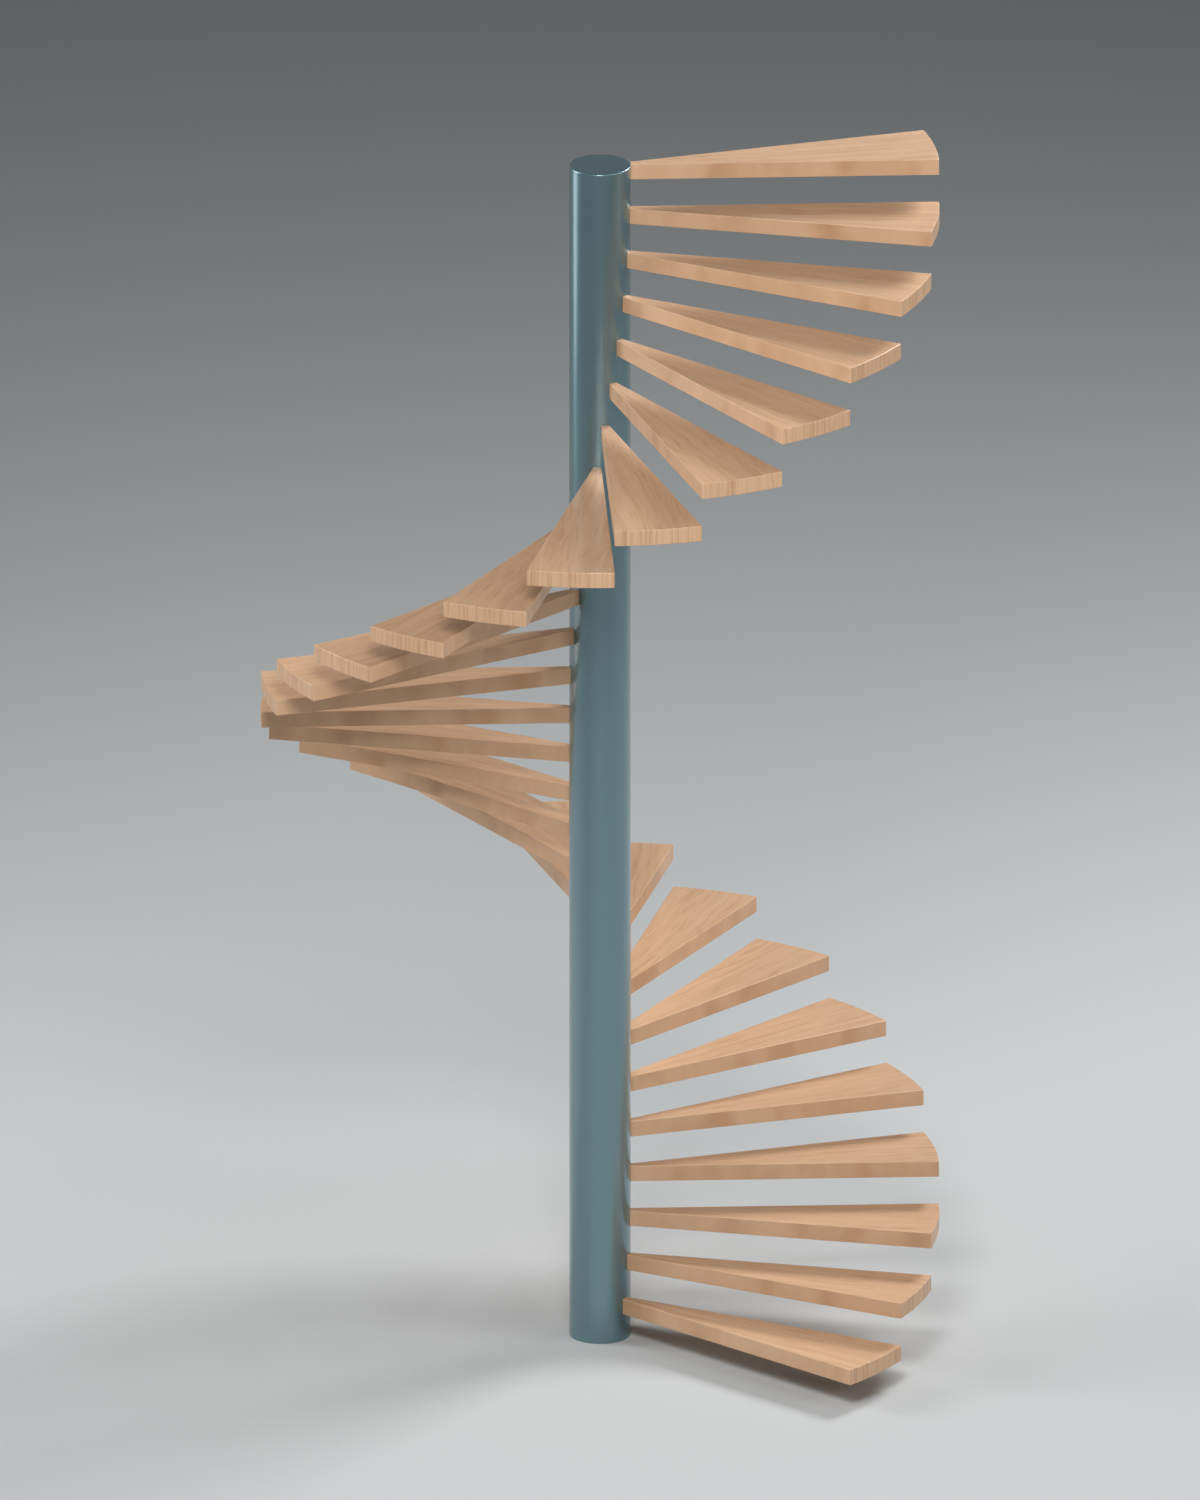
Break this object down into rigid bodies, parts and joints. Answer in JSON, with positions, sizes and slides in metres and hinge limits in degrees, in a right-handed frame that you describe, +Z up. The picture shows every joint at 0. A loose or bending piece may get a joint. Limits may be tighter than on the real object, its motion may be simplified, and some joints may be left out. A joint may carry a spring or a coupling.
{
  "type": "spiral staircase",
  "caption": "Open spiral staircase whose solid wood wedge treads stand out of a painted steel column and climb anticlockwise to the floor above.",
  "frame": {"origin": "centre of the column's foot, where it stands on the floor", "axes": "+Z up along the column; +X along the middle of the lowest tread; the treads climb anticlockwise seen from above"},
  "size_m": [2.69, 2.69, 4.928],
  "materials": {
    "column_paint": "satin",
    "foot_steel": "satin",
    "tread_wood": "satin"
  },
  "bodies": {
    "root": {"column_tube": "column_paint", "column_cap": "column_paint", "foot_plate": "foot_steel", "tread_01": "tread_wood", "tread_02": "tread_wood", "tread_03": "tread_wood", "tread_04": "tread_wood", "tread_05": "tread_wood", "tread_06": "tread_wood", "tread_07": "tread_wood", "tread_08": "tread_wood", "tread_09": "tread_wood", "tread_10": "tread_wood", "tread_11": "tread_wood", "tread_12": "tread_wood", "tread_13": "tread_wood", "tread_14": "tread_wood", "tread_15": "tread_wood", "tread_16": "tread_wood", "tread_17": "tread_wood", "tread_18": "tread_wood", "tread_19": "tread_wood", "tread_20": "tread_wood", "tread_21": "tread_wood", "tread_22": "tread_wood", "tread_23": "tread_wood", "tread_24": "tread_wood", "tread_25": "tread_wood", "tread_26": "tread_wood", "tread_27": "tread_wood", "tread_28": "tread_wood"}
  },
  "joints": []
}
